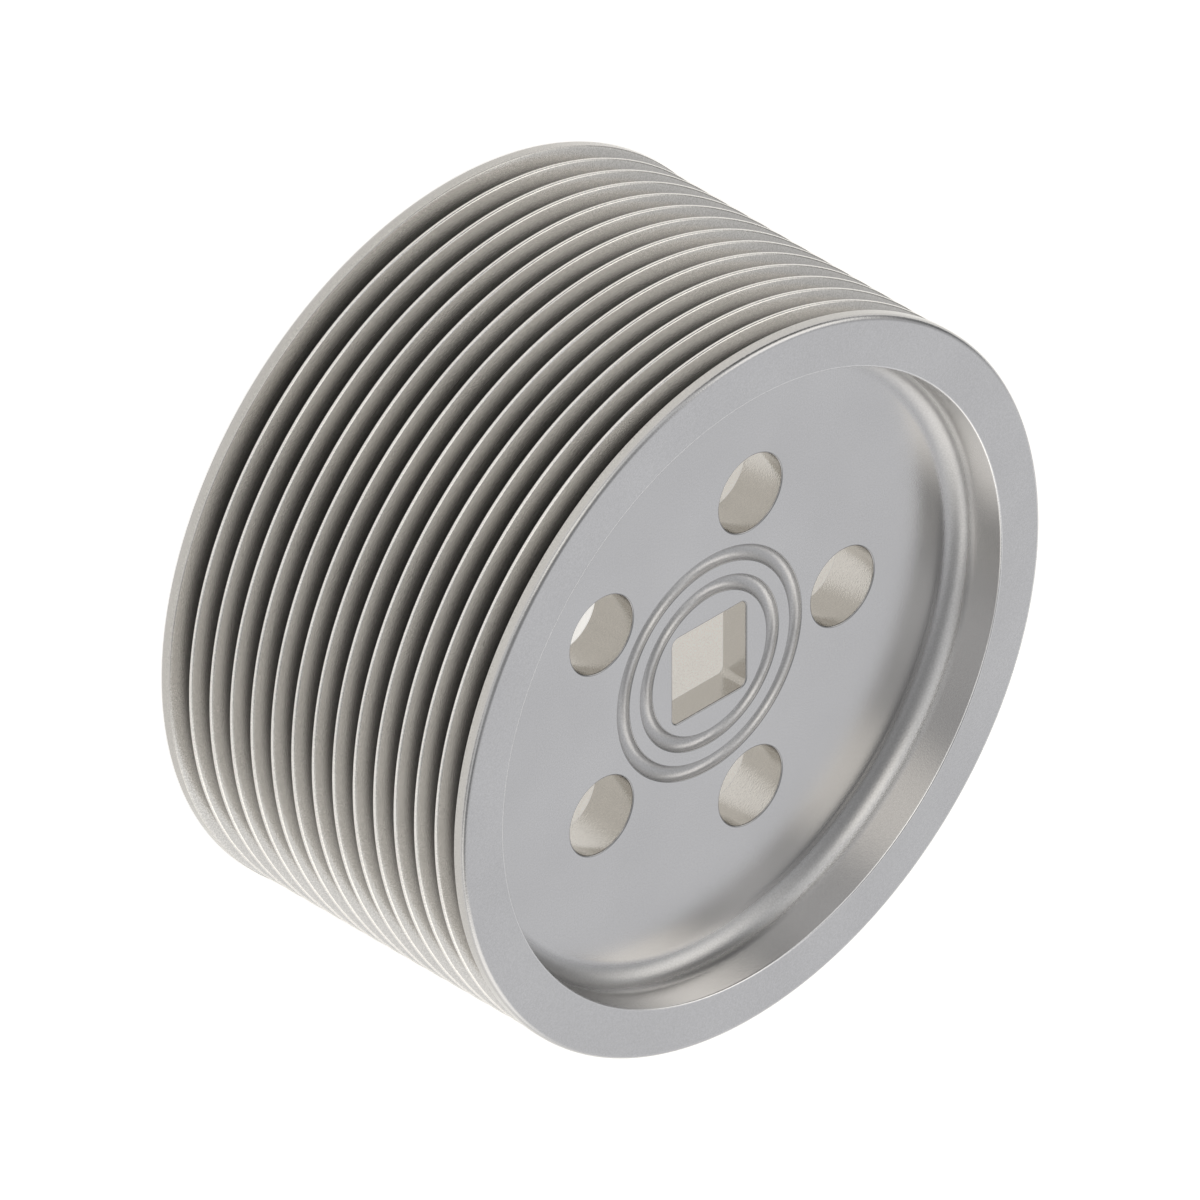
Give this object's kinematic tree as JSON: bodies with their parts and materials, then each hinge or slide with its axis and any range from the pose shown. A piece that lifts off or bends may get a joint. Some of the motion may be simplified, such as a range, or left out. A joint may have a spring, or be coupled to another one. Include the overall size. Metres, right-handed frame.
{
  "type": "fan drive pulley",
  "caption": "Wide multi-rib belt pulley with a recessed web, a ring of bolt holes and a square drive hole.",
  "frame": {"origin": "centre of the rear rim, in the plane that the pulley stands on", "axes": "+Z along the pulley's axis towards its front face, +X through one bolt hole and square to one side of the drive hole"},
  "size_m": [0.1006, 0.1006, 0.0531],
  "materials": {
    "machined_metal": "satin machined"
  },
  "bodies": {
    "root": {"pulley": "machined_metal"}
  },
  "joints": []
}
